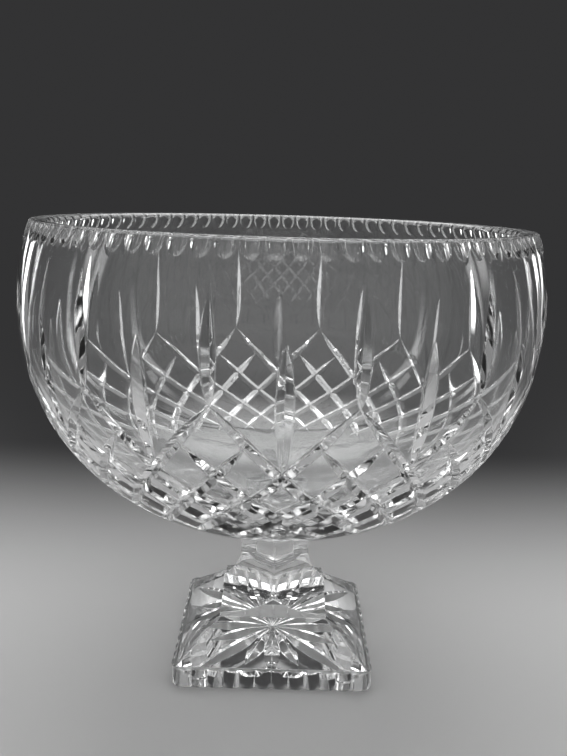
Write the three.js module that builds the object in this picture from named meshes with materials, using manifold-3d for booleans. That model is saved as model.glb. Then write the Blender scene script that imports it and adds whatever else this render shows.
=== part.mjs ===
// Footed crystal bowl: a deep cut-glass bowl bonded to a square pedestal foot.
// Millimetres, +Z up, origin under the middle of the foot.
// Azimuth 0 is the front, at -Y, and azimuth grows towards +X.
import * as THREE from 'three';
import { mergeVertices } from 'three/addons/utils/BufferGeometryUtils.js';
import Module from 'manifold-3d';

const wasm = await Module();
wasm.setup();

// Bowl wall
const bowlRadius = 152.4; // greatest outside radius
const bowlBelly = 139; // outside depth of the wall's curve below the greatest radius
const bowlShoulder = 44.3; // height of the rim above the greatest radius
const bellyPower = 2.18; // 2 is an ellipse, and more is fuller
const shoulderTuck = 7.6; // how far the rim draws in from the greatest radius
const wallThickness = 6.8; // from the greatest outside radius to the greatest inside one
const insideDrop = 14.2; // the inside is widest this far below the outside
const insidePower = 2.08;
const rimThickness = 10.8; // the wall thickens where it draws in, before the scallops
const baseThickness = 12; // glass under the inside bottom
const rimRounding = 1.4;
const lipRounding = 3.6; // inside edge of the rim
const bowlTurn = THREE.MathUtils.degToRad(0.9); // the bowl is bonded on slightly turned on its foot

// Leaf cuts of the bowl, tall and short in turn
const repeats = 14;
const tallCutStart = 17; // below the rim
const tallCutLength = 56.5;
const tallCutDepth = 2.8;
const tallCutFlare = 1.15; // half width of a cut for each millimetre of its depth
const shortCutStart = 44;
const shortCutDepth = 2.9;
const shortCutFlare = 1.4;

// Diagonal mitre cuts, which cross in rows and make the lattice of diamonds
const mitreAngle = THREE.MathUtils.degToRad(50); // slope of a cut along the wall
const mitreDepth = 2.9;
const mitreFlare = 1; // steep enough for the glass to reflect inside a cut
const latticeRows = 6; // rows of crossings below the tall cuts
const latticeRunOut = 0.4; // rows past the last crossing where a cut runs out
const cutterLift = 2.5; // how far a cutting tool stands above the glass

// Scallops round the outside of the rim
const scallopsPerRepeat = 6;
const scallopRadius = 7.2;
const scallopDrop = 9; // how far a scallop reaches down the wall
const scallopBite = 2.2; // how far it cuts into the crest

// Pedestal foot: fluted plate, hipped slope, square block and flared stem
const footHeight = 86.9;
const plateWidth = 119.6;
const plateHeight = 11.6;
const plateCorner = 8;
const flutesPerSide = 10;
const fluteMargin = 12.5; // plain run from a corner to the first flute
const fluteDepth = 1.7;
const blockWidth = 64.8;
const blockBottom = 32;
const stemHalfDiagonal = 22;
const stemStraight = 25; // height of the stem above its flare
const flareHeight = 27;
const flareReach = 43; // how far the flare spreads, to the block's corners

// Star cut under the foot
const starRays = 16;
const starCornerGap = 18.6; // from the long rays to the plate's corners
const starSideGap = 9.8; // from the side rays to the plate's sides
const starShortGap = 17.8; // from the short rays to a circle as wide as the plate
const starDepth = 2.6;
const starFlare = 1.9;

// Bond between foot and bowl
const bondThickness = 0.3;
const bondSetback = 0.6; // the film stops short of the stem's edges
const groundMargin = 0.6; // the ground flat under the bowl is wider than the stem

// Facets
const bowlSegments = 56;
const insideSegments = 42;
const lowerRings = 4; // below the lattice
const bellyRings = 3; // from the lattice to the greatest radius
const shoulderRings = 3; // from there to the rim
const insideRings = 8;
const leafSteps = 4;
const starSteps = 4;
const scallopSides = 8;
const flareSteps = 8;
const fluteSteps = 4;

// Heights and angles that follow from the sizes above
const pitch = (2 * Math.PI) / repeats;
const bowlFloor = footHeight + bondThickness;
const groundRadius = stemHalfDiagonal + groundMargin;
const groundDepth = bowlBelly * (1 - bellyShare(groundRadius / bowlRadius));
const bowlWaist = bowlFloor - groundDepth + bowlBelly;
const rimHeight = bowlWaist + bowlShoulder;
const rimRadius = bowlRadius - shoulderTuck;
const insideRadius = bowlRadius - wallThickness;
const insideWaist = bowlWaist - insideDrop;
const insideTuck = insideRadius - (rimRadius - rimThickness);
const insideFloor = bowlFloor + baseThickness;
const latticeTop = rimHeight - tallCutStart - tallCutLength;
const flutePitch = (plateWidth - 2 * fluteMargin) / flutesPerSide;

// A superellipse's other coordinate, both as shares of its half axes
function bellyShare(share) {
  return (1 - share ** bellyPower) ** (1 / bellyPower);
}

// The wall's outside is a superellipse below its greatest radius and a parabola above it
function outsideRadiusAt(height) {
  const above = height - bowlWaist;
  if (above > 0) return bowlRadius - shoulderTuck * (above / bowlShoulder) ** 2;
  return bowlRadius * bellyShare(-above / bowlBelly);
}

function outsideHeightAt(radius) {
  return bowlWaist - bowlBelly * bellyShare(radius / bowlRadius);
}

// How fast the outside widens with height
function outsideSlopeAt(height) {
  const step = 0.05;
  return (outsideRadiusAt(height + step) - outsideRadiusAt(height - step)) / (2 * step);
}

// The place and the outward direction of a point on the outside of the wall
function wallPlace(azimuth, height) {
  const radius = outsideRadiusAt(height);
  const point = new THREE.Vector3(radius * Math.sin(azimuth), -radius * Math.cos(azimuth), height);
  const slope = outsideSlopeAt(height);
  const normal = new THREE.Vector3(Math.sin(azimuth), -Math.cos(azimuth), -slope).normalize();
  return { point, normal };
}

// The height reached by a mitre cut that has gone round the wall by an angle from a given height
function mitreHeight(from, turn) {
  const steps = 24;
  let height = from;
  for (let i = 0; i < steps; i += 1) {
    const along = (turn / steps) * outsideRadiusAt(height) * Math.tan(mitreAngle);
    height -= along / Math.hypot(1, outsideSlopeAt(height));
  }
  return height;
}

// Boolean solids from three.js geometry, and back
function solidOf(geometry) {
  const bare = geometry.clone();
  bare.deleteAttribute('normal');
  bare.deleteAttribute('uv');
  const merged = mergeVertices(bare, 1e-4);
  const vertProperties = new Float32Array(merged.attributes.position.array);
  const triVerts = new Uint32Array(merged.index.array);
  return new wasm.Manifold(new wasm.Mesh({ numProp: 3, vertProperties, triVerts }));
}

function meshOf(name, solid, material) {
  const { vertProperties, triVerts } = solid.getMesh();
  const geometry = new THREE.BufferGeometry();
  geometry.setAttribute('position', new THREE.BufferAttribute(vertProperties, 3));
  geometry.setIndex(new THREE.BufferAttribute(triVerts, 1));
  geometry.computeVertexNormals();
  const mesh = new THREE.Mesh(geometry, material);
  mesh.name = name;
  return mesh;
}

const cutAll = (solid, tools) => tools.reduce((rest, tool) => rest.subtract(tool), solid);

// A solid of revolution about +Z from [radius, height] points
function turned(profile, segments) {
  const points = profile.map(([radius, height]) => new THREE.Vector2(radius, height));
  return solidOf(new THREE.LatheGeometry(points, segments).rotateX(Math.PI / 2));
}

// The tool of one V cut: a solid lofted through triangles, one at each place along the cut
function mitreTool(places, flare) {
  const corners = [];
  places.forEach(({ point, normal, depth }, i) => {
    const before = places[Math.max(i - 1, 0)].point;
    const after = places[Math.min(i + 1, places.length - 1)].point;
    const side = after.clone().sub(before).cross(normal).normalize();
    const top = point.clone().addScaledVector(normal, cutterLift);
    const reach = flare * (depth + cutterLift);
    corners.push(point.clone().addScaledVector(normal, -depth));
    corners.push(top.clone().addScaledVector(side, reach));
    corners.push(top.clone().addScaledVector(side, -reach));
  });
  const last = corners.length - 3;
  const faces = [0, 1, 2, last, last + 2, last + 1];
  for (let i = 0; i < last; i += 3) {
    for (let k = 0; k < 3; k += 1) {
      const a = i + k;
      const b = i + ((k + 1) % 3);
      faces.push(b, a, a + 3, b, a + 3, b + 3);
    }
  }
  const geometry = new THREE.BufferGeometry().setFromPoints(corners);
  geometry.setIndex(faces);
  return solidOf(geometry);
}

// A leaf cut stands upright on the wall, deepest in the middle and run out at both tips
function leafTool(azimuth, top, bottom, depth, flare) {
  const places = [];
  for (let i = 0; i <= leafSteps; i += 1) {
    const share = i / leafSteps;
    const height = THREE.MathUtils.lerp(top, bottom, share);
    places.push({ ...wallPlace(azimuth, height), depth: 4 * depth * share * (1 - share) });
  }
  return mitreTool(places, flare);
}

// A diagonal cut goes a quarter of a repeat round the wall from each crossing to the next
const crossings = [latticeTop];
for (let row = 1; row <= latticeRows + 1; row += 1) {
  crossings.push(mitreHeight(crossings[row - 1], pitch / 4));
}

function diagonalTool(start, firstRow, handed) {
  const places = [];
  const place = (row, depth) => {
    const whole = Math.floor(row);
    const height = THREE.MathUtils.lerp(crossings[whole], crossings[Math.ceil(row)], row - whole);
    const azimuth = start + handed * row * (pitch / 4);
    places.push({ ...wallPlace(azimuth, height), depth });
  };
  place(firstRow, 0);
  for (let row = firstRow + 1; row < latticeRows; row += 1) place(row, mitreDepth);
  place(latticeRows + latticeRunOut, 0);
  return mitreTool(places, mitreFlare);
}

// A scallop is cut by a round wheel that leans in over the rim
function scallopTool(azimuth) {
  const low = new THREE.Vector2(outsideRadiusAt(rimHeight - scallopDrop), rimHeight - scallopDrop);
  const high = new THREE.Vector2(rimRadius - scallopBite, rimHeight);
  const lean = high.clone().sub(low);
  const outward = new THREE.Vector2(lean.y, -lean.x).normalize();
  const middle = low.clone().add(high).multiplyScalar(0.5).addScaledVector(outward, scallopRadius);
  const flats = scallopRadius / Math.cos(Math.PI / scallopSides);
  const wheel = new THREE.CylinderGeometry(flats, flats, 3 * lean.length(), scallopSides);
  wheel.rotateY(Math.PI / scallopSides);
  wheel.rotateX(Math.PI / 2);
  wheel.rotateX(-Math.atan2(-lean.x, lean.y));
  wheel.translate(0, -middle.x, middle.y);
  wheel.rotateZ(azimuth);
  return solidOf(wheel);
}

function makeBowl() {
  const outside = [[0, bowlFloor], [groundRadius, bowlFloor]];
  const lowest = outsideRadiusAt(crossings[latticeRows]);
  for (let i = 1; i < lowerRings; i += 1) {
    const radius = THREE.MathUtils.lerp(groundRadius, lowest, i / lowerRings);
    outside.push([radius, outsideHeightAt(radius)]);
  }
  for (let row = latticeRows; row >= 0; row -= 1) {
    outside.push([outsideRadiusAt(crossings[row]), crossings[row]]);
  }
  for (let i = 1; i <= bellyRings; i += 1) {
    const height = THREE.MathUtils.lerp(latticeTop, bowlWaist, i / bellyRings);
    outside.push([outsideRadiusAt(height), height]);
  }
  const crest = rimHeight - rimRounding;
  for (let i = 1; i <= shoulderRings; i += 1) {
    const height = THREE.MathUtils.lerp(bowlWaist, crest, i / shoulderRings);
    outside.push([outsideRadiusAt(height), height]);
  }
  outside.push([rimRadius - rimRounding, rimHeight], [0, rimHeight]);

  const inside = [[0, insideFloor]];
  const insideBelly = insideWaist - insideFloor;
  for (let i = 1; i <= insideRings; i += 1) {
    const turn = (i / insideRings) * (Math.PI / 2);
    const radius = insideRadius * Math.sin(turn) ** (2 / insidePower);
    inside.push([radius, insideWaist - insideBelly * Math.cos(turn) ** (2 / insidePower)]);
  }
  const lipHeight = rimHeight - lipRounding;
  const insideAt = (height) => {
    return insideRadius - insideTuck * ((height - insideWaist) / (rimHeight - insideWaist)) ** 2;
  };
  for (let i = 1; i <= shoulderRings; i += 1) {
    const height = THREE.MathUtils.lerp(insideWaist, lipHeight, i / shoulderRings);
    inside.push([insideAt(height), height]);
  }
  const mouth = rimHeight + cutterLift;
  const mouthRadius = insideAt(lipHeight) + lipRounding;
  const lipRing = lipRounding * Math.SQRT1_2;
  inside.push([mouthRadius - lipRing, lipHeight + lipRing], [mouthRadius, rimHeight]);
  inside.push([mouthRadius, mouth], [0, mouth]);

  const tools = [];
  for (let i = 0; i < repeats; i += 1) {
    const short = i * pitch;
    const tall = short + pitch / 2;
    const tallTop = rimHeight - tallCutStart;
    const shortTop = rimHeight - shortCutStart;
    tools.push(leafTool(tall, tallTop, latticeTop, tallCutDepth, tallCutFlare));
    tools.push(leafTool(short, shortTop, crossings[2], shortCutDepth, shortCutFlare));
    for (const handed of [-1, 1]) {
      tools.push(diagonalTool(tall, 0, handed), diagonalTool(short, 1, handed));
    }
    for (let k = 0; k < scallopsPerRepeat; k += 1) {
      tools.push(scallopTool(short + ((k + 0.5) * pitch) / scallopsPerRepeat));
    }
  }
  return cutAll(turned(outside, bowlSegments).subtract(turned(inside, insideSegments)), tools);
}

// The plate's outline: a rounded square with hollow flutes along each side
function plateOutline() {
  const half = plateWidth / 2;
  const hollow = flutePitch / 2;
  const radius = (hollow ** 2 + fluteDepth ** 2) / (2 * fluteDepth);
  const spread = Math.asin(hollow / radius);
  const outline = new THREE.Shape();
  for (let side = 0; side < 4; side += 1) {
    const turn = (side * Math.PI) / 2;
    const placed = (x, y) => new THREE.Vector2(x, y).rotateAround(new THREE.Vector2(), turn);
    const start = -(flutesPerSide / 2) * flutePitch;
    for (let i = 0; i < flutesPerSide; i += 1) {
      const centre = placed(start + (i + 0.5) * flutePitch, -half + fluteDepth - radius);
      const up = turn + Math.PI / 2;
      outline.absarc(centre.x, centre.y, radius, up + spread, up - spread, true);
    }
    const corner = placed(half - plateCorner, plateCorner - half);
    outline.absarc(corner.x, corner.y, plateCorner, turn - Math.PI / 2, turn, false);
  }
  return outline;
}

function prism(outline, bottom, height, steps) {
  const settings = { depth: height, bevelEnabled: false, curveSegments: steps };
  return solidOf(new THREE.ExtrudeGeometry(outline, settings).translate(0, 0, bottom));
}

// A square solid with straight sides, given as [half width, height] points
function squareTurned(profile) {
  const points = profile.map(([half, height]) => new THREE.Vector2(half * Math.SQRT2, height));
  const geometry = new THREE.LatheGeometry(points, 4).rotateX(Math.PI / 2).rotateZ(Math.PI / 4);
  return solidOf(geometry);
}

function starTool(ray) {
  const azimuth = (ray * 2 * Math.PI) / starRays;
  const toCorner = ray % 4 === 2;
  const toSide = ray % 4 === 0;
  let length = plateWidth / 2 - starShortGap;
  if (toCorner) length = plateWidth * Math.SQRT1_2 - starCornerGap;
  if (toSide) length = plateWidth / 2 - starSideGap;
  const direction = new THREE.Vector3(Math.sin(azimuth), -Math.cos(azimuth), 0);
  const normal = new THREE.Vector3(0, 0, -1);
  const places = [];
  for (let i = 0; i <= starSteps; i += 1) {
    const share = i / starSteps;
    const point = direction.clone().multiplyScalar(share * length);
    places.push({ point, normal, depth: 4 * starDepth * share * (1 - share) });
  }
  return mitreTool(places, starFlare);
}

function makeFoot() {
  const halfPlate = plateWidth / 2;
  const halfBlock = blockWidth / 2;
  const hipped = squareTurned([
    [0, 0], [halfPlate, 0], [halfPlate, plateHeight], [halfBlock, blockBottom], [0, blockBottom],
  ]);
  const plate = hipped.intersect(prism(plateOutline(), 0, footHeight, fluteSteps));

  const flareTop = footHeight - stemStraight;
  const stemProfile = [[0, plateHeight], [stemHalfDiagonal + flareReach, plateHeight]];
  for (let i = 0; i <= flareSteps; i += 1) {
    const turn = (i / flareSteps) * (Math.PI / 2);
    const halfDiagonal = stemHalfDiagonal + flareReach * (1 - Math.sin(turn));
    stemProfile.push([halfDiagonal, flareTop - flareHeight * Math.cos(turn)]);
  }
  stemProfile.push([stemHalfDiagonal, footHeight], [0, footHeight]);
  const block = squareTurned([
    [0, plateHeight], [halfBlock, plateHeight], [halfBlock, footHeight], [0, footHeight],
  ]);
  const stem = turned(stemProfile, 4).intersect(block);

  const rays = Array.from({ length: starRays }, (_, ray) => starTool(ray));
  return cutAll(plate.add(stem), rays);
}

function makeBond() {
  const half = stemHalfDiagonal - bondSetback;
  const outline = new THREE.Shape();
  outline.moveTo(half, 0).lineTo(0, half).lineTo(-half, 0).lineTo(0, -half).closePath();
  return prism(outline, footHeight, bondThickness, 1);
}

const crystal = { color: 0xe9eff0, roughness: 0.03, metalness: 0 };
const adhesive = { color: 0xf4f5f2, roughness: 0.1, metalness: 0 };

const footedBowl = new THREE.Group();
footedBowl.add(meshOf('foot', makeFoot(), new THREE.MeshStandardMaterial(crystal)));
footedBowl.add(meshOf('bond_film', makeBond(), new THREE.MeshStandardMaterial(adhesive)));
const bowl = meshOf('bowl', makeBowl(), new THREE.MeshStandardMaterial(crystal));
bowl.geometry.rotateZ(bowlTurn);
footedBowl.add(bowl);

export default footedBowl;
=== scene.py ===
# Footed crystal bowl: a cut-glass bowl bonded to a moulded square foot.
# Sizes of the pieces and the camera's place are in millimetres. Finished meshes are scaled to metres.
# Materials, floor and lamps are in metres.
# Azimuth 0 is the front, at -Y, and azimuth grows towards +X.
import math

import bmesh
import bpy
import numpy as np
from mathutils import Matrix, Vector


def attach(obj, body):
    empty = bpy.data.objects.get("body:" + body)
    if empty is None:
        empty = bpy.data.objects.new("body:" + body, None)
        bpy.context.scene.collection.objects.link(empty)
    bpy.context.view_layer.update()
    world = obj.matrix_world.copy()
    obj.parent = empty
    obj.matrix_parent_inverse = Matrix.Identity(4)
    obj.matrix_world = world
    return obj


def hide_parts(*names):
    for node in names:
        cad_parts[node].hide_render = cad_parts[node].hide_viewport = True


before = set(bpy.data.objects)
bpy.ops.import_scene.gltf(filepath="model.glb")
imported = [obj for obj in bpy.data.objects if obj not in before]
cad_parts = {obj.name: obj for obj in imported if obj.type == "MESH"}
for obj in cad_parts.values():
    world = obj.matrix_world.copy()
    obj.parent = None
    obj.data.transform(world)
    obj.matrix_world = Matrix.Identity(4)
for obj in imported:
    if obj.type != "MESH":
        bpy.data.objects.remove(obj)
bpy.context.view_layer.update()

MM = 0.001
TURN = 2 * math.pi
QUARTER = math.pi / 2
UP = np.array([0, 0, 1.0])

# Bowl wall
WAIST = 225.2  # height where the outside is widest
BOWL_RADIUS = 152.2
BOWL_BELLY = 139.0  # from the waist down to where the wall's curve would close
BOWL_SHOULDER = 44.3  # from the waist up to the rim
BELLY_POWER = 2.18  # 2 would make an ellipse
SHOULDER_TUCK = 7.6  # how far the rim stands in from the waist
INSIDE_WAIST = 211.0  # height where the inside is widest
INSIDE_RADIUS = 145.4
INSIDE_POWER = 2.08
INSIDE_TUCK = 11.6
BASE_THICKNESS = 12.0
RIM_ROUNDING = 1.4  # outer edge of the rim
LIP_ROUNDING = 3.6  # inner edge of the rim
BOWL_FLOOR = 87.2  # height of the ground flat under the bowl
GROUND_RADIUS = 22.6
BOWL_TURN = math.radians(0.9)  # turn of the cuts against the foot
RIM_HEIGHT = WAIST + BOWL_SHOULDER
RIM_RADIUS = BOWL_RADIUS - SHOULDER_TUCK

# Leaf cuts, tall and short in turn. A flare is half the width of a V over its depth.
# The two powers of a swell set where a leaf is widest.
REPEATS = 14
PITCH = TURN / REPEATS
TALL_MARGIN = 17.0  # from the rim to the leaf's top
TALL_LENGTH = 56.5
TALL_DEPTH = 3.4
TALL_FLARE = 1.1
TALL_SWELL = (1.2, 0.75)
SHORT_MARGIN = 44.0
SHORT_ROWS = 2  # rows of the lattice that a short leaf reaches down
SHORT_DEPTH = 3.5
SHORT_FLARE = 1.2
SHORT_SWELL = (0.75, 0.95)
TALL_TOP = RIM_HEIGHT - TALL_MARGIN
SHORT_TOP = RIM_HEIGHT - SHORT_MARGIN

# Diagonal mitre cuts, which start at the lower tips of the tall leaves and cross once a row
MITRE_SLOPE = math.tan(math.radians(50))
MITRE_DEPTH = 2.9
MITRE_FLARE = 1.0
LATTICE_TOP = TALL_TOP - TALL_LENGTH
LATTICE_ROWS = 6
ROW_TURN = PITCH / 4
RUN_OUT = 0.4  # in rows

# V-shaped tools, whose flanks turn out where they leave the glass
CUTTER_LIFT = 2.5  # height of a tool above the wall
TIP_DEPTH = 0.06
EDGE_START = 0.4  # depth at which a flank starts to turn
EDGE_STEP = 0.32
EDGE_TURNS = (0.8, 0.6, 0.4, 0.2)  # shares of the flank's slope, step by step
EDGE_LEAST = 0.02  # share of this rounding that is left where a cut has no depth
WELD = 0.0003

# Scallops round the rim. Along a scallop, -1 is its lower end, 0 its middle and 1 the rim.
SCALLOPS = 84
SCALLOP_RADIUS = 6.4
SCALLOP_DROP = 9.6
SCALLOP_BITE = 1.15  # of a straight bar into the rim
SCALLOP_HOLLOW = 1.65  # how much deeper the bowed bar cuts
SCALLOP_DEEPEST = 0.65  # place along the scallop
SCALLOP_REACH = 2  # place of the bar's ends, which stand clear of the wall

# Foot
FOOT_HEIGHT = 86.9
PLATE_WIDTH = 119.6
PLATE_HEIGHT = 11.6
PLATE_CORNER = 8.0
PLATE_EDGE = 0.5  # chamfer round the underside
REEDS = 10
REED_MARGIN = 12.5
REED_DEPTH = 1.7
LEDGE = 3.0
LEDGE_RISE = 0.3
BLOCK_WIDTH = 64.8
BLOCK_BOTTOM = 32.0
HIP_ROUNDING = 0.8
STEM_HALF = 22.0  # from the axis to a corner
STEM_STRAIGHT = 25.0
STEM_ROUNDING = 1.0
FLARE_HEIGHT = 27.0
FLARE_REACH = 43.0
STAR_RAYS = 16
STAR_CORNER = 66.0  # length of the rays to the corners
STAR_SIDE = 50.0  # length of the rays to the sides
STAR_SHORT = 42.0  # length of the rays between
STAR_DEPTH = 2.6
STAR_FLARE = 1.9
TRIM_SLACK = 1.0  # how far a solid passes the one that trims it

# Film between stem and bowl, sunk a little into both so that no air shows in the joint
FILM_INSET = 0.6
FILM_OVERLAP = 0.1

# Fineness of the meshes, and the angles in degrees above which an edge is sharp
BOWL_SEGMENTS = 280
BELLY_POINTS = 64
SHOULDER_POINTS = 18
RIM_STEPS = 6
LIP_STEPS = 10
NECK_POINTS = 16
WELL_POINTS = 56
LEAF_SECTIONS = 33
MITRE_SECTIONS = 6  # per row
ROW_POINTS = 8
SCALLOP_SECTIONS = 23
SCALLOP_SIDES = 52
REED_STEPS = 12
ROW_END_POINTS = 5
CORNER_POINTS = 9
ROUNDING_STEPS = 5
FLARE_SECTIONS = 25
STAR_SECTIONS = 17
BOWL_CREASE = 10
FOOT_CREASE = 12
FILM_CREASE = 30

# Glass. Its haze is the roughness of the most smeared places.
GLASS_IOR = 1.545
BOWL_WAVES = 70.0
FOOT_WAVES = 90.0
FILM_WAVES = 200.0
WAVE_HEIGHT = 0.00001
WAVE_DETAIL = 1.0
GLASS_HAZE = 0.03
FILM_HAZE = 0.06
EDGE_WEAR = 0.0006
WEAR_SAMPLES = 4
CLEAR = (1.0, 1.0, 1.0, 1)
FAINT_TINT = (0.975, 0.985, 0.985, 1)
SMEAR_SCALE = 45.0
SMEAR_DETAIL = 5.0
SMEAR_RANGE = (0.45, 0.75)

# The room is dark straight behind the object and lighter round the sides and the front
SURROUND = (0.033, 0.033, 0.034, 1)
ROOM = (0.68, 0.68, 0.68, 1)
ROOM_RANGE = (0.93, -0.9)  # share of +Y in a direction, from dark to light

# Floor, which farther out, and sooner behind the object, fades into painted glow: an emission in the room's
# colour, though the floor is no lamp
FLOOR_COLOUR = (0.47, 0.47, 0.47, 1)
FLOOR_ROUGHNESS = 0.5
FLOOR_HALF = 12.0
FLOOR_DROP = -0.0003
GLOW_AROUND = (1.0, 2.6)
GLOW_BEHIND = (-0.05, 0.42)

# Lamps: name, place, width, height and power in watts
LAMPS = (
    ("overhead", (0.0, 0.6, 1.5), 2.2, 2.2, 24),
    ("left", (-1.5, -0.2, 0.9), 0.2, 1.4, 1.6),
    ("right", (1.5, -0.1, 0.9), 0.2, 1.4, 1.6),
    ("back_left", (-1.15, 1.2, 0.55), 0.15, 1.2, 1.5),
    ("back_right", (1.15, 1.2, 0.55), 0.15, 1.2, 1.5),
)
LAMP_AIM = (0, 0, 0.15)
LAMP_FADE = (0.5, 0.2)  # shares of a lamp's side, from dark at its edge to full light
LAMP_PEAK = 1.43  # makes up for the light that the soft edges take

# Camera, as fitted to the rim, the outline and the foot in the photograph
CAMERA_PLACE = (-0.67, -498.47, 290.23)
CAMERA_YAW = math.radians(0.336)
CAMERA_PITCH = math.radians(12.933)
CAMERA_ROLL = math.radians(1.711)
FOCAL_PIXELS = 832.46
PHOTO_HEIGHT = 756
SENSOR = 36.0

# Bounces of light that clear glass with many cuts needs
GLASS_BOUNCES = 32
GLOSS_BOUNCES = 12


def outside_radius(z):
    z = np.asarray(z, float)
    above = np.clip((z - WAIST) / BOWL_SHOULDER, 0, None)
    below = np.clip((WAIST - z) / BOWL_BELLY, 0, 1)
    belly = BOWL_RADIUS * (1 - below ** BELLY_POWER) ** (1 / BELLY_POWER)
    return np.where(z > WAIST, BOWL_RADIUS - SHOULDER_TUCK * above ** 2, belly)


def outside_slope(z):
    step = 0.02
    return (outside_radius(z + step) - outside_radius(z - step)) / (2 * step)


def outward_from(azimuth):
    return np.array([math.sin(azimuth), -math.cos(azimuth), 0])


def wall_place(azimuth, z):
    """A point of the uncut wall and the wall's normal there."""
    point = outward_from(azimuth) * float(outside_radius(z)) + UP * z
    normal = outward_from(azimuth) - UP * float(outside_slope(z))
    return point, normal / np.linalg.norm(normal)


def mitre_heights(start, turns):
    """Heights of a mitre cut after each of the turns round the wall."""
    heights = [start]
    height = start
    steps = 24
    for before, after in zip(turns, turns[1:]):
        for _ in range(steps):
            along = (after - before) / steps * float(outside_radius(height)) * MITRE_SLOPE
            height -= along / math.hypot(1, float(outside_slope(height)))
        heights.append(height)
    return np.array(heights)


FINE_ROWS = np.linspace(0, LATTICE_ROWS + 1, ROW_POINTS * (LATTICE_ROWS + 1) + 1)
FINE_HEIGHTS = mitre_heights(LATTICE_TOP, FINE_ROWS * ROW_TURN)
SHORT_BOTTOM = float(np.interp(SHORT_ROWS, FINE_ROWS, FINE_HEIGHTS))


def new_object(name, vertices, faces):
    points = [tuple(map(float, v)) for v in vertices]
    corners = [tuple(map(int, f)) for f in faces]
    mesh = bpy.data.meshes.new(name)
    mesh.from_pydata(points, [], corners)
    mesh.validate()
    bm = bmesh.new()
    bm.from_mesh(mesh)
    bmesh.ops.recalc_face_normals(bm, faces=bm.faces)
    bm.to_mesh(mesh)
    bm.free()
    piece = bpy.data.objects.new(name, mesh)
    bpy.context.scene.collection.objects.link(piece)
    return piece


def lathe(name, profile, segments):
    """A solid of revolution from (radius, height) points that start and end on the axis."""
    vertices = [(0, 0, profile[0][1])]
    rings = []
    angles = np.arange(segments) * TURN / segments
    for r, z in profile[1:-1]:
        rings.append(len(vertices))
        vertices.extend((r * math.sin(a), -r * math.cos(a), z) for a in angles)
    top = len(vertices)
    vertices.append((0, 0, profile[-1][1]))
    faces = []
    for i in range(segments):
        j = (i + 1) % segments
        faces.append((0, rings[0] + j, rings[0] + i))
        faces.append((top, rings[-1] + i, rings[-1] + j))
        for a, b in zip(rings, rings[1:]):
            faces.append((a + i, a + j, b + j, b + i))
    return new_object(name, vertices, faces)


def tube_faces(first, loops, count):
    """Faces of a closed tube through loops of as many points each, from the first point on."""
    last = first + (loops - 1) * count
    faces = [tuple(reversed(range(first, first + count))), tuple(range(last, last + count))]
    for a in range(first, last, count):
        for i in range(count):
            j = (i + 1) % count
            faces.append((a + i, a + j, a + count + j, a + count + i))
    return faces


def loft(name, loops):
    """A closed solid through loops that all have the same number of points."""
    vertices = [p for loop in loops for p in loop]
    return new_object(name, vertices, tube_faces(0, len(loops), len(loops[0])))


def v_edge(depth, flare, rounded):
    """One flank of a V tool: straight, then turned out where it leaves the glass so that the edge is
    rounded. Points are (across, height above the wall)."""
    if not rounded:
        return [(flare * (depth + CUTTER_LIFT), CUTTER_LIFT)]
    size = min(1.0, depth / (2 * EDGE_START) + EDGE_LEAST)
    slope = math.atan(1 / flare)
    x = flare * (depth - size * EDGE_START)
    h = -size * EDGE_START
    points = [(x, h)]
    for turn in EDGE_TURNS:
        x += size * EDGE_STEP * math.cos(slope * turn)
        h += size * EDGE_STEP * math.sin(slope * turn)
        points.append((x, h))
    points.append((x + flare * CUTTER_LIFT, CUTTER_LIFT))
    return points


def v_tools(name, cuts, flare, rounded=True):
    """V-shaped cutting tools in one mesh. Each cut is a list of (point, normal, depth)."""
    vertices = []
    faces = []
    for cut in cuts:
        first = len(vertices)
        for i, (point, normal, depth) in enumerate(cut):
            before = cut[max(i - 1, 0)][0]
            after = cut[min(i + 1, len(cut) - 1)][0]
            side = np.cross(after - before, normal)
            side /= np.linalg.norm(side)
            depth = max(depth, TIP_DEPTH)
            edge = v_edge(depth, flare, rounded)
            outline = [(0, -depth)] + [(-x, h) for x, h in edge] + edge[::-1]
            vertices.extend(point + side * x + normal * h for x, h in outline)
        faces.extend(tube_faces(first, len(cut), len(outline)))
    return new_object(name, vertices, faces)


def combine(piece, tool, operation):
    """Joins or cuts a piece with a tool, which is then deleted."""
    modifier = piece.modifiers.new("combine", "BOOLEAN")
    modifier.operation = operation
    modifier.solver = "MANIFOLD"
    modifier.object = tool
    depsgraph = bpy.context.evaluated_depsgraph_get()
    made = bpy.data.meshes.new_from_object(piece.evaluated_get(depsgraph))
    piece.modifiers.clear()
    piece.data = made
    bpy.data.objects.remove(tool)


def arc(cx, cz, radius, start, end, steps):
    angles = np.radians(np.linspace(start, end, steps + 1))
    return [(cx + radius * math.cos(a), cz + radius * math.sin(a)) for a in angles]


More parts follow.
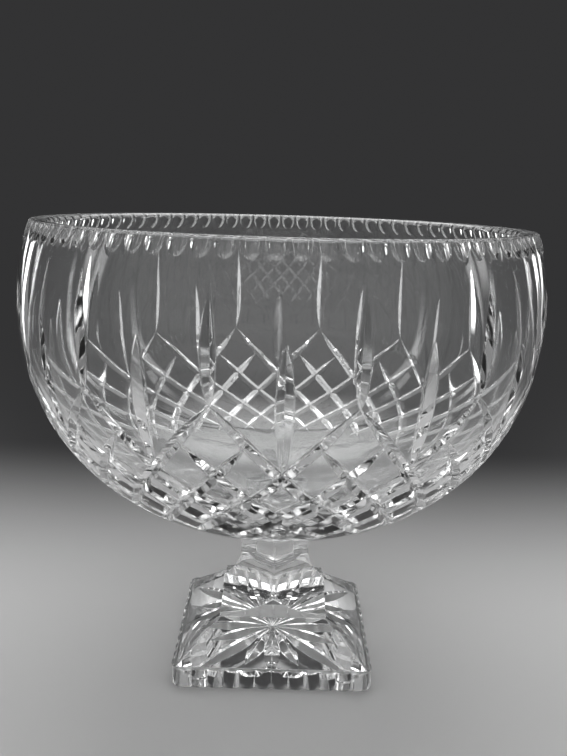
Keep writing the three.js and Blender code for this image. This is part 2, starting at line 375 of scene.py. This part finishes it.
def wall_profile():
    """The bowl's section: up the outside, over the rim and down the inside."""
    profile = [(0, BOWL_FLOOR), (GROUND_RADIUS, BOWL_FLOOR)]
    low = math.asin((GROUND_RADIUS / BOWL_RADIUS) ** (BELLY_POWER / 2))
    for turn in np.linspace(low, QUARTER, BELLY_POINTS)[1:]:
        r = BOWL_RADIUS * math.sin(turn) ** (2 / BELLY_POWER)
        drop = max(math.cos(turn), 0) ** (2 / BELLY_POWER)
        profile.append((r, WAIST - BOWL_BELLY * drop))
    for z in np.linspace(WAIST, RIM_HEIGHT - RIM_ROUNDING, SHOULDER_POINTS)[1:-1]:
        profile.append((float(outside_radius(z)), z))
    profile.extend(arc(RIM_RADIUS - RIM_ROUNDING, RIM_HEIGHT - RIM_ROUNDING, RIM_ROUNDING, 0, 90, RIM_STEPS))

    above = RIM_HEIGHT - INSIDE_WAIST
    lip_height = RIM_HEIGHT - LIP_ROUNDING
    lip = INSIDE_RADIUS - INSIDE_TUCK * ((lip_height - INSIDE_WAIST) / above) ** 2
    profile.extend(arc(lip + LIP_ROUNDING, lip_height, LIP_ROUNDING, 90, 180, LIP_STEPS))
    for height in np.linspace(lip_height, INSIDE_WAIST, NECK_POINTS)[1:-1]:
        share = (height - INSIDE_WAIST) / above
        profile.append((INSIDE_RADIUS - INSIDE_TUCK * share ** 2, height))
    inside_floor = BOWL_FLOOR + BASE_THICKNESS
    for turn in np.linspace(QUARTER, 0, WELL_POINTS)[:-1]:
        r = INSIDE_RADIUS * math.sin(turn) ** (2 / INSIDE_POWER)
        drop = max(math.cos(turn), 0) ** (2 / INSIDE_POWER)
        profile.append((r, INSIDE_WAIST - (INSIDE_WAIST - inside_floor) * drop))
    profile.append((0, inside_floor))
    return profile


def leaf_cut(azimuth, top, bottom, depth, swell):
    """An upright leaf, from its upper tip to its lower one."""
    first, last = swell
    widest = first / (first + last)
    most = widest ** first * (1 - widest) ** last
    cut = []
    for turn in np.linspace(0, math.pi, LEAF_SECTIONS):
        share = (1 - math.cos(turn)) / 2
        point, normal = wall_place(azimuth, top + (bottom - top) * share)
        cut.append((point, normal, depth * share ** first * (1 - share) ** last / most))
    return cut


def diagonal_cut(start, first_row, handed):
    """A mitre cut that deepens over its first row and runs out over its last."""
    cut = []
    last_row = LATTICE_ROWS + RUN_OUT
    sections = MITRE_SECTIONS * (LATTICE_ROWS - first_row) + 1
    for row in np.linspace(first_row, last_row, sections):
        height = float(np.interp(row, FINE_ROWS, FINE_HEIGHTS))
        point, normal = wall_place(start + handed * row * ROW_TURN, height)
        enter = min(row - first_row, 1)
        leave = min(last_row - row, 1)
        cut.append((point, normal, MITRE_DEPTH * math.sin(enter * QUARTER) * math.sin(leave * QUARTER)))
    return cut


def scallop_tools(name, azimuths):
    """Round bars that bow into the wall, so that each thumb cut is hollow both ways."""
    low = np.array([float(outside_radius(RIM_HEIGHT - SCALLOP_DROP)), RIM_HEIGHT - SCALLOP_DROP])
    high = np.array([RIM_RADIUS - SCALLOP_BITE, RIM_HEIGHT])
    half = np.linalg.norm(high - low) / 2
    lean = (high - low) / np.linalg.norm(high - low)
    outward = np.array([lean[1], -lean[0]])
    middle = (low + high) / 2 + outward * SCALLOP_RADIUS
    vertices = []
    faces = []
    for azimuth in azimuths:
        first = len(vertices)
        out = outward_from(azimuth)
        across = np.array([math.cos(azimuth), math.sin(azimuth), 0])
        for end in np.linspace(-SCALLOP_REACH, SCALLOP_REACH, SCALLOP_SECTIONS):
            bow = SCALLOP_HOLLOW * (((end - SCALLOP_DEEPEST) / (1 + SCALLOP_DEEPEST)) ** 2 - 1)
            r, z = middle + lean * end * half + outward * bow
            for k in range(SCALLOP_SIDES):
                a = TURN * k / SCALLOP_SIDES
                ro, zo = outward * SCALLOP_RADIUS * math.cos(a)
                vertices.append(out * (r + ro) + UP * (z + zo) + across * SCALLOP_RADIUS * math.sin(a))
        faces.extend(tube_faces(first, SCALLOP_SECTIONS, SCALLOP_SIDES))
    return new_object(name, vertices, faces)


def weld(mesh):
    """Joins the points that crossing cuts leave almost on top of each other."""
    bm = bmesh.new()
    bm.from_mesh(mesh)
    bmesh.ops.remove_doubles(bm, verts=bm.verts, dist=WELD)
    bm.to_mesh(mesh)
    bm.free()


def shade(mesh, degrees):
    """Smooth faces with sharp edges where the surface turns by more than the angle."""
    mesh.shade_smooth()
    mesh.set_sharp_from_angle(angle=math.radians(degrees))


def polish_wall(mesh):
    """Gives the uncut outside of the wall the normals of its true curve."""
    near = 0.08
    along = math.cos(math.radians(4))
    lowest = BOWL_FLOOR + 0.5
    highest = RIM_HEIGHT - RIM_ROUNDING - 0.1

    def read(rows, name, width, kind=float):
        values = np.zeros(len(rows) * width, kind)
        rows.foreach_get(name, values)
        return values.reshape(-1, width) if width > 1 else values

    normals = read(mesh.corner_normals, "vector", 3)
    corners = read(mesh.loops, "vertex_index", 1, int)
    places = read(mesh.vertices, "co", 3)
    flat = read(mesh.polygons, "normal", 3)
    totals = read(mesh.polygons, "loop_total", 1, int)
    owner = np.repeat(np.arange(len(totals)), totals)
    at = places[corners]
    radius = np.hypot(at[:, 0], at[:, 1])
    height = at[:, 2]
    slope = outside_slope(np.clip(height, BOWL_FLOOR + 1, RIM_HEIGHT - 1))
    out = at[:, :2] / radius.clip(1e-6)[:, None]
    true = np.column_stack([out, -slope])
    true /= np.linalg.norm(true, axis=1, keepdims=True)
    on_wall = np.abs(radius - outside_radius(height)) < near
    on_wall &= (height > lowest) & (height < highest)
    on_wall &= (flat[owner] * true).sum(1) > along
    whole = np.bincount(owner, weights=on_wall, minlength=len(totals)) == totals
    chosen = whole[owner]
    normals[chosen] = true[chosen]
    mesh.normals_split_custom_set([tuple(n) for n in normals])


def make_bowl():
    bowl = lathe("bowl_cut", wall_profile(), BOWL_SEGMENTS)
    shorts = [i * PITCH for i in range(REPEATS)]
    talls = [a + PITCH / 2 for a in shorts]
    leaves = [leaf_cut(a, TALL_TOP, LATTICE_TOP, TALL_DEPTH, TALL_SWELL) for a in talls]
    combine(bowl, v_tools("tall_tools", leaves, TALL_FLARE), "DIFFERENCE")
    leaves = [leaf_cut(a, SHORT_TOP, SHORT_BOTTOM, SHORT_DEPTH, SHORT_SWELL) for a in shorts]
    combine(bowl, v_tools("short_tools", leaves, SHORT_FLARE), "DIFFERENCE")
    for handed in (-1, 1):
        cuts = [diagonal_cut(a, 0, handed) for a in talls]
        cuts += [diagonal_cut(a, 1, handed) for a in shorts]
        combine(bowl, v_tools("mitre_tools", cuts, MITRE_FLARE), "DIFFERENCE")
    # Scallops meet their neighbours, so every other one is cut at a time
    for odd in (0, 1):
        azimuths = [(k + 0.5) * TURN / SCALLOPS for k in range(odd, SCALLOPS, 2)]
        combine(bowl, scallop_tools("scallop_tools", azimuths), "DIFFERENCE")
    mesh = bowl.data
    weld(mesh)
    shade(mesh, BOWL_CREASE)
    polish_wall(mesh)
    mesh.transform(Matrix.Rotation(BOWL_TURN, 4, "Z"))
    mesh.transform(Matrix.Scale(MM, 4))
    return bowl


def rounded_square(half, rounding, z, turn=0.0):
    """A square loop with rounded corners. An eighth of a turn stands it on a corner."""
    loop = []
    inner = half - rounding
    for side in range(4):
        middle = turn + side * QUARTER + QUARTER / 2
        cx = inner * math.sqrt(2) * math.cos(middle)
        cy = inner * math.sqrt(2) * math.sin(middle)
        for k in range(ROUNDING_STEPS + 1):
            a = middle + (k / ROUNDING_STEPS - 0.5) * QUARTER
            loop.append((cx + rounding * math.cos(a), cy + rounding * math.sin(a), z))
    return loop


def stem_square(reach, z):
    """A loop of the stem, which stands on its corner. The reach runs from the axis to a corner."""
    return rounded_square(reach / math.sqrt(2), STEM_ROUNDING, z, QUARTER / 2)


def plate_outline():
    """A square with rounded corner blocks and a row of round reeds along each side."""
    half = PLATE_WIDTH / 2
    pitch = (PLATE_WIDTH - 2 * REED_MARGIN) / REEDS
    radius = ((pitch / 2) ** 2 + REED_DEPTH ** 2) / (2 * REED_DEPTH)
    spread = math.asin(pitch / 2 / radius)
    row_end = REEDS / 2 * pitch
    corner = half - PLATE_CORNER
    shoulder = []
    for a in np.linspace(0, QUARTER, ROW_END_POINTS):
        x = row_end + REED_DEPTH * (1 - math.cos(a))
        shoulder.append((x, -half + REED_DEPTH * (1 - math.sin(a))))
    side = [(-x, y) for x, y in reversed(shoulder[1:])]
    for i in range(REEDS):
        cx = (i + 0.5) * pitch - row_end
        for a in np.linspace(-spread, spread, REED_STEPS + 1)[:-1]:
            side.append((cx + radius * math.sin(a), -half + radius * (1 - math.cos(a))))
    side.extend(shoulder)
    for a in np.linspace(-QUARTER, 0, CORNER_POINTS):
        side.append((corner + PLATE_CORNER * math.cos(a), -corner + PLATE_CORNER * math.sin(a)))
    points = []
    for turn in range(4):
        cos = round(math.cos(turn * QUARTER))
        sin = round(math.sin(turn * QUARTER))
        points.extend((x * cos - y * sin, x * sin + y * cos) for x, y in side)
    return points


def make_plate():
    """The reeded plate with its ledge, and the hipped slope up to the block."""
    half = PLATE_WIDTH / 2
    loops = [
        rounded_square(half + TRIM_SLACK, HIP_ROUNDING, -TRIM_SLACK),
        rounded_square(half, HIP_ROUNDING, PLATE_HEIGHT),
        rounded_square(half - LEDGE, HIP_ROUNDING, PLATE_HEIGHT + LEDGE_RISE),
        rounded_square(BLOCK_WIDTH / 2, HIP_ROUNDING, BLOCK_BOTTOM),
    ]
    plate = loft("foot_moulded", loops)
    outline = plate_outline()
    shrink = 1 - PLATE_EDGE / half
    reeded = [[(x * shrink, y * shrink, 0) for x, y in outline]]
    reeded.append([(x, y, PLATE_EDGE) for x, y in outline])
    reeded.append([(x, y, FOOT_HEIGHT) for x, y in outline])
    combine(plate, loft("reeded_prism", reeded), "INTERSECT")
    return plate


def make_stem():
    """The stem, flared to its foot and trimmed to the square block."""
    flare_top = FOOT_HEIGHT - STEM_STRAIGHT
    loops = [stem_square(STEM_HALF + FLARE_REACH, PLATE_HEIGHT)]
    for turn in np.linspace(0, QUARTER, FLARE_SECTIONS):
        reach = STEM_HALF + FLARE_REACH * (1 - math.sin(turn))
        loops.append(stem_square(reach, flare_top - FLARE_HEIGHT * math.cos(turn)))
    loops.append(stem_square(STEM_HALF, FOOT_HEIGHT))
    stem = loft("stem", loops)
    ends = (PLATE_HEIGHT, FOOT_HEIGHT + TRIM_SLACK)
    block = loft("block", [rounded_square(BLOCK_WIDTH / 2, HIP_ROUNDING, z) for z in ends])
    combine(stem, block, "INTERSECT")
    return stem


def cut_star(foot):
    """Cuts the star's rays into the underside, every other one first."""
    lengths = (STAR_SIDE, STAR_SHORT, STAR_CORNER, STAR_SHORT)
    for ray in [*range(0, STAR_RAYS, 2), *range(1, STAR_RAYS, 2)]:
        tip = outward_from(ray * TURN / STAR_RAYS) * lengths[ray % 4]
        shares = np.linspace(0, 1, STAR_SECTIONS)
        cut = [(tip * s, -UP, 4 * STAR_DEPTH * s * (1 - s)) for s in shares]
        combine(foot, v_tools("star_tool", [cut], STAR_FLARE, rounded=False), "DIFFERENCE")


def make_foot():
    foot = make_plate()
    combine(foot, make_stem(), "UNION")
    cut_star(foot)
    shade(foot.data, FOOT_CREASE)
    foot.data.transform(Matrix.Scale(MM, 4))
    return foot


def make_film():
    ends = (FOOT_HEIGHT - FILM_OVERLAP, BOWL_FLOOR + FILM_OVERLAP)
    film = loft("bond_clear", [stem_square(STEM_HALF - FILM_INSET, z) for z in ends])
    shade(film.data, FILM_CREASE)
    film.data.transform(Matrix.Scale(MM, 4))
    return film


def node(tree, kind, **values):
    made = tree.nodes.new(kind)
    for name, value in values.items():
        setattr(made, name, value)
    return made


def calculate(tree, operation, *values):
    """The result of a calculation on sockets and plain numbers."""
    made = node(tree, "ShaderNodeMath", operation=operation)
    for socket, value in zip(made.inputs, values):
        if isinstance(value, float):
            socket.default_value = value
        else:
            tree.links.new(value, socket)
    return made.outputs["Value"]


def grade(tree, value, span, top=1.0, kind="SMOOTHSTEP"):
    """Runs from 0 to the top as a value runs over a span, whose second end may be the lower one."""
    made = node(tree, "ShaderNodeMapRange", interpolation_type=kind)
    start, end = span
    low, high = 0.0, top
    if start > end:
        start, end = end, start
        low, high = high, low
    made.inputs["From Min"].default_value = start
    made.inputs["From Max"].default_value = end
    made.inputs["To Min"].default_value = low
    made.inputs["To Max"].default_value = high
    tree.links.new(value, made.inputs["Value"])
    return made.outputs["Result"]


def mix_colour(tree, share, first, second):
    made = node(tree, "ShaderNodeMix", data_type="RGBA")
    made.inputs["A"].default_value = first
    made.inputs["B"].default_value = second
    tree.links.new(share, made.inputs["Factor"])
    return made.outputs["Result"]


def noise(tree, place, scale, detail):
    made = node(tree, "ShaderNodeTexNoise")
    made.inputs["Scale"].default_value = scale
    made.inputs["Detail"].default_value = detail
    tree.links.new(place, made.inputs["Vector"])
    return made.outputs["Fac"]


def crystal(name, wave_scale, haze):
    """Clear glass whose polish varies a little, whose surface is faintly waved and whose edges are worn."""
    material = bpy.data.materials.new(name)
    material.use_nodes = True
    tree = material.node_tree
    shader = tree.nodes["Principled BSDF"]
    shader.inputs["Transmission Weight"].default_value = 1.0
    shader.inputs["IOR"].default_value = GLASS_IOR
    place = node(tree, "ShaderNodeTexCoord").outputs["Object"]
    worn = node(tree, "ShaderNodeBevel", samples=WEAR_SAMPLES)
    worn.inputs["Radius"].default_value = EDGE_WEAR
    bump = node(tree, "ShaderNodeBump")
    bump.inputs["Strength"].default_value = 1.0
    bump.inputs["Distance"].default_value = WAVE_HEIGHT
    tree.links.new(noise(tree, place, wave_scale, WAVE_DETAIL), bump.inputs["Height"])
    tree.links.new(worn.outputs["Normal"], bump.inputs["Normal"])
    tree.links.new(bump.outputs["Normal"], shader.inputs["Normal"])
    smear = noise(tree, place, SMEAR_SCALE, SMEAR_DETAIL)
    tree.links.new(grade(tree, smear, SMEAR_RANGE, haze, "LINEAR"), shader.inputs["Roughness"])
    tree.links.new(mix_colour(tree, smear, CLEAR, FAINT_TINT), shader.inputs["Base Color"])
    return material


def dress(piece, node_name, material):
    piece.data.materials.clear()
    piece.data.materials.append(material)
    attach(piece, "root")
    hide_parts(node_name)


def room_colour(tree, ahead):
    """Colour of the room for a direction whose +Y share is given."""
    return mix_colour(tree, grade(tree, ahead, ROOM_RANGE), SURROUND, ROOM)


def make_floor():
    sides = ((-1, -1), (1, -1), (1, 1), (-1, 1))
    corners = [(x * FLOOR_HALF, y * FLOOR_HALF, FLOOR_DROP) for x, y in sides]
    floor = new_object("floor", corners, [(0, 1, 2, 3)])
    material = bpy.data.materials.new("floor_paint_and_glow")
    material.use_nodes = True
    tree = material.node_tree
    shader = tree.nodes["Principled BSDF"]
    shader.inputs["Base Color"].default_value = FLOOR_COLOUR
    shader.inputs["Roughness"].default_value = FLOOR_ROUGHNESS
    place = node(tree, "ShaderNodeTexCoord").outputs["Object"]
    length = node(tree, "ShaderNodeVectorMath", operation="LENGTH")
    tree.links.new(place, length.inputs[0])
    away = length.outputs["Value"]
    split = node(tree, "ShaderNodeSeparateXYZ")
    tree.links.new(place, split.inputs["Vector"])
    back = split.outputs["Y"]
    # Share of painted glow, which grows farther out and sooner behind the object
    glow_share = calculate(tree, "MAXIMUM", grade(tree, away, GLOW_AROUND), grade(tree, back, GLOW_BEHIND))
    # Painted glow: the far floor emits the room's colour, dark behind the object and lighter at the sides
    # and front, though it is no lamp
    painted_room_glow = node(tree, "ShaderNodeEmission")
    ahead = calculate(tree, "DIVIDE", back, away)
    tree.links.new(room_colour(tree, ahead), painted_room_glow.inputs["Color"])
    join = node(tree, "ShaderNodeMixShader")
    tree.links.new(glow_share, join.inputs["Fac"])
    tree.links.new(shader.outputs["BSDF"], join.inputs[1])
    tree.links.new(painted_room_glow.outputs["Emission"], join.inputs[2])
    tree.links.new(join.outputs["Shader"], tree.nodes["Material Output"].inputs["Surface"])
    floor.data.materials.append(material)


def softbox(name, place, width, height, power):
    """A rectangular lamp with soft edges that the camera doesn't see."""
    lamp = bpy.data.lights.new(name, "AREA")
    lamp.shape = "RECTANGLE"
    lamp.size = width
    lamp.size_y = height
    lamp.energy = power
    lamp.use_nodes = True
    tree = lamp.node_tree
    split = node(tree, "ShaderNodeSeparateXYZ")
    tree.links.new(node(tree, "ShaderNodeNewGeometry").outputs["Parametric"], split.inputs["Vector"])
    edges = []
    for axis in ("X", "Y"):
        from_middle = calculate(tree, "SUBTRACT", split.outputs[axis], 0.5)
        edges.append(grade(tree, calculate(tree, "ABSOLUTE", from_middle), LAMP_FADE, LAMP_PEAK))
    tree.links.new(calculate(tree, "MULTIPLY", *edges), tree.nodes["Emission"].inputs["Strength"])
    light = bpy.data.objects.new(name, lamp)
    light.visible_camera = False
    bpy.context.scene.collection.objects.link(light)
    light.location = place
    light.rotation_euler = (Vector(LAMP_AIM) - Vector(place)).to_track_quat("-Z", "Y").to_euler()


def make_room():
    world = bpy.data.worlds.new("surround")
    world.use_nodes = True
    tree = world.node_tree
    split = node(tree, "ShaderNodeSeparateXYZ")
    tree.links.new(node(tree, "ShaderNodeTexCoord").outputs["Generated"], split.inputs["Vector"])
    tree.links.new(room_colour(tree, split.outputs["Y"]), tree.nodes["Background"].inputs["Color"])
    bpy.context.scene.world = world


def make_camera():
    level = math.cos(CAMERA_PITCH)
    ahead = Vector((math.sin(CAMERA_YAW) * level, math.cos(CAMERA_YAW) * level, -math.sin(CAMERA_PITCH)))
    right = Vector((math.cos(CAMERA_YAW), -math.sin(CAMERA_YAW), 0))
    up = right.cross(ahead)
    rolled_right = right * math.cos(CAMERA_ROLL) + up * math.sin(CAMERA_ROLL)
    rolled_up = up * math.cos(CAMERA_ROLL) - right * math.sin(CAMERA_ROLL)
    lens = bpy.data.cameras.new("photo_camera")
    lens.sensor_width = SENSOR
    lens.lens = FOCAL_PIXELS * SENSOR / PHOTO_HEIGHT
    camera = bpy.data.objects.new("photo_camera", lens)
    bpy.context.scene.collection.objects.link(camera)
    turn = Matrix((rolled_right, rolled_up, -ahead)).transposed().to_4x4()
    camera.matrix_world = Matrix.Translation(Vector(CAMERA_PLACE) * MM) @ turn
    bpy.context.scene.camera = camera


bowl = make_bowl()
foot = make_foot()
film = make_film()
dress(bowl, "bowl", crystal("bowl_crystal", BOWL_WAVES, GLASS_HAZE))
dress(foot, "foot", crystal("foot_crystal", FOOT_WAVES, GLASS_HAZE))
dress(film, "bond_film", crystal("clear_adhesive", FILM_WAVES, FILM_HAZE))

make_floor()
for lamp_values in LAMPS:
    softbox(*lamp_values)
make_room()
make_camera()

scene = bpy.context.scene
scene.view_settings.view_transform = "Standard"
scene.cycles.max_bounces = GLASS_BOUNCES
scene.cycles.transmission_bounces = GLASS_BOUNCES
scene.cycles.glossy_bounces = GLOSS_BOUNCES
scene.cycles.use_denoising = True
